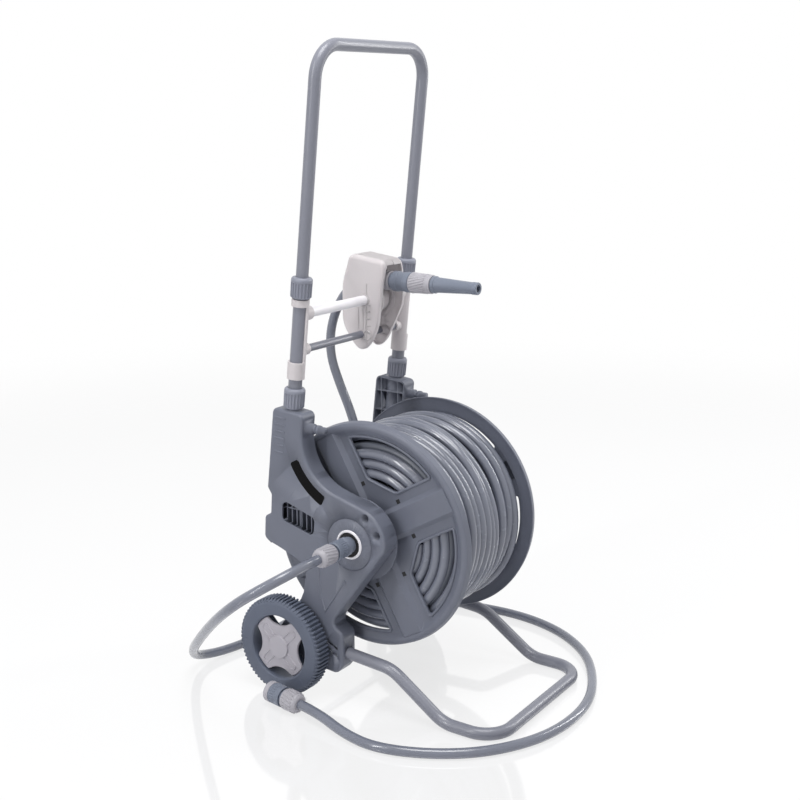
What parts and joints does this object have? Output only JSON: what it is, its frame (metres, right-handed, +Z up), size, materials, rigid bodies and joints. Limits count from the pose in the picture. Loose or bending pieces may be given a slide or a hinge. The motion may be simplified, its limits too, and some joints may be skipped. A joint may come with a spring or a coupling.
{
  "type": "garden hose reel cart",
  "caption": "Two-wheeled garden hose cart: a tubular frame with a telescopic handle carries a wound hose drum, a folding crank and a sliding hose guide with a nozzle.",
  "frame": {"origin": "floor level, midway between the wheels' outer faces and between the foot bar's front and the wheels' back", "axes": "+Z up, X along the drum's axis with the water inlet at -X and the crank at +X, the foot bar at -Y and the wheels at +Y"},
  "size_m": [0.6069, 0.5897, 0.9543],
  "materials": {
    "slate_plastic": "satin moulded plastic, slate grey",
    "clamp_plastic": "satin moulded plastic, mid grey",
    "label_plastic": "bare black panel",
    "light_plastic": "satin moulded plastic, light warm grey",
    "grey_paint": "powder-coated steel tube, grey",
    "white_rail": "smooth white rod",
    "steel": "zinc-plated steel",
    "wheel_plastic": "ribbed moulded plastic, dark slate",
    "hose_vinyl": "semi-gloss grey garden hose",
    "seal_rubber": "black rubber",
    "connector_slate": "satin moulded plastic, slate grey",
    "connector_light": "satin moulded plastic, light grey"
  },
  "bodies": {
    "frame": {"side_plate_left": "slate_plastic", "side_plate_right": "slate_plastic", "label_panels": "label_plastic", "hub_covers": "slate_plastic", "hub_screws": "steel", "drum_bush_left": "light_plastic", "drum_bush_right": "light_plastic", "lower_post_left": "grey_paint", "lower_post_right": "grey_paint", "foot_tube": "grey_paint", "foot_screws": "steel", "clamp_rings": "light_plastic", "guide_bracket_left": "light_plastic", "guide_bracket_right": "light_plastic", "guide_rail_upper": "white_rail", "guide_rail_lower": "grey_paint", "wheel_axle": "steel", "axle_clips": "steel", "inlet_spigot": "light_plastic", "spigot_seals": "seal_rubber", "inlet_body": "connector_slate", "inlet_nut": "connector_light", "leader_hose": "hose_vinyl", "tap_body": "connector_slate", "tap_nut": "connector_light"},
    "lower_clamp_left": {"lower_clamp_left": "clamp_plastic"},
    "lower_clamp_right": {"lower_clamp_right": "clamp_plastic"},
    "upper_clamp_left": {"upper_clamp_left": "clamp_plastic"},
    "upper_clamp_right": {"upper_clamp_right": "clamp_plastic"},
    "drum": {"flange_left": "slate_plastic", "flange_right": "slate_plastic", "rim_rings": "slate_plastic", "barrel": "slate_plastic", "drum_stub_left": "light_plastic", "drum_stub_right": "light_plastic", "drum_screws": "steel", "water_elbow": "light_plastic", "hose_core": "hose_vinyl", "hose_winding": "hose_vinyl", "crank_arm": "slate_plastic", "crank_pin": "steel"},
    "crank_spindle": {"crank_spindle": "steel"},
    "crank_grip": {"crank_grip": "slate_plastic"},
    "wheel_left": {"wheel_left": "wheel_plastic", "wheel_cap_left": "light_plastic"},
    "wheel_right": {"wheel_right": "wheel_plastic", "wheel_cap_right": "light_plastic"},
    "handle": {"handle_tube": "grey_paint"},
    "carriage": {"guide_shell_left": "light_plastic", "guide_shell_right": "light_plastic", "shell_screws": "steel", "feed_hose": "hose_vinyl", "nozzle_nut": "connector_light", "nozzle_body": "connector_slate", "nozzle_grip": "connector_light"},
    "guide_pulley": {"guide_pulley": "light_plastic"},
    "nozzle_cone": {"nozzle_cone": "connector_slate"},
    "inlet_sleeve": {"inlet_sleeve": "connector_slate"},
    "tap_sleeve": {"tap_sleeve": "connector_slate"},
    "nozzle_sleeve": {"nozzle_sleeve": "connector_slate"}
  },
  "joints": [
    {"name": "drum_spin", "type": "hinge", "parent": "frame", "child": "drum", "pos_m": [0, 0.03, 0.251], "axis": [1, 0, 0], "continuous": true},
    {"name": "crank_fold", "type": "hinge", "parent": "drum", "child": "crank_spindle", "pos_m": [0.1684, 0.11314, 0.203], "axis": [0, 0.5, 0.866], "range_deg": [0, 90]},
    {"name": "crank_grip_spin", "type": "hinge", "parent": "crank_spindle", "child": "crank_grip", "pos_m": [0.1684, 0.11314, 0.203], "axis": [0, -0.866, 0.5], "continuous": true},
    {"name": "wheel_left_spin", "type": "hinge", "parent": "frame", "child": "wheel_left", "pos_m": [0, 0.141, 0.076], "axis": [1, 0, 0], "continuous": true},
    {"name": "wheel_right_spin", "type": "hinge", "parent": "frame", "child": "wheel_right", "pos_m": [0, 0.141, 0.076], "axis": [1, 0, 0], "continuous": true},
    {"name": "handle_slide", "type": "slide", "parent": "frame", "child": "handle", "axis": [0, -0.1028, 0.9947], "range_m": [-0.2, 0]},
    {"name": "guide_slide", "type": "slide", "parent": "frame", "child": "carriage", "axis": [1, 0, 0], "range_m": [-0.13, 0.03]},
    {"name": "guide_pulley_spin", "type": "hinge", "parent": "carriage", "child": "guide_pulley", "pos_m": [0.05, 0.12462, 0.57398], "axis": [1, 0, 0], "continuous": true},
    {"name": "nozzle_twist", "type": "hinge", "parent": "carriage", "child": "nozzle_cone", "pos_m": [0.05, 0.06, 0.60363], "axis": [0, 1, 0], "range_deg": [0, 270]},
    {"name": "inlet_release", "type": "slide", "parent": "frame", "child": "inlet_sleeve", "axis": [-1, 0, 0], "range_m": [0, 0.004], "stiffness_N_per_m": 400},
    {"name": "tap_release", "type": "slide", "parent": "frame", "child": "tap_sleeve", "axis": [-0.1302, -0.9913, -0.02], "range_m": [0, 0.004], "stiffness_N_per_m": 400},
    {"name": "nozzle_release", "type": "slide", "parent": "carriage", "child": "nozzle_sleeve", "axis": [0, 1, 0], "range_m": [0, 0.004], "stiffness_N_per_m": 400},
    {"name": "lower_clamp_left_twist", "type": "hinge", "parent": "frame", "child": "lower_clamp_left", "pos_m": [-0.133, 0.13734, 0.45093], "axis": [0, -0.1028, 0.9947], "range_deg": [0, 180]},
    {"name": "upper_clamp_left_twist", "type": "hinge", "parent": "frame", "child": "upper_clamp_left", "pos_m": [-0.133, 0.12058, 0.61307], "axis": [0, -0.1028, 0.9947], "range_deg": [0, 180]},
    {"name": "lower_clamp_right_twist", "type": "hinge", "parent": "frame", "child": "lower_clamp_right", "pos_m": [0.133, 0.13734, 0.45093], "axis": [0, -0.1028, 0.9947], "range_deg": [0, 180]},
    {"name": "upper_clamp_right_twist", "type": "hinge", "parent": "frame", "child": "upper_clamp_right", "pos_m": [0.133, 0.12058, 0.61307], "axis": [0, -0.1028, 0.9947], "range_deg": [0, 180]}
  ]
}
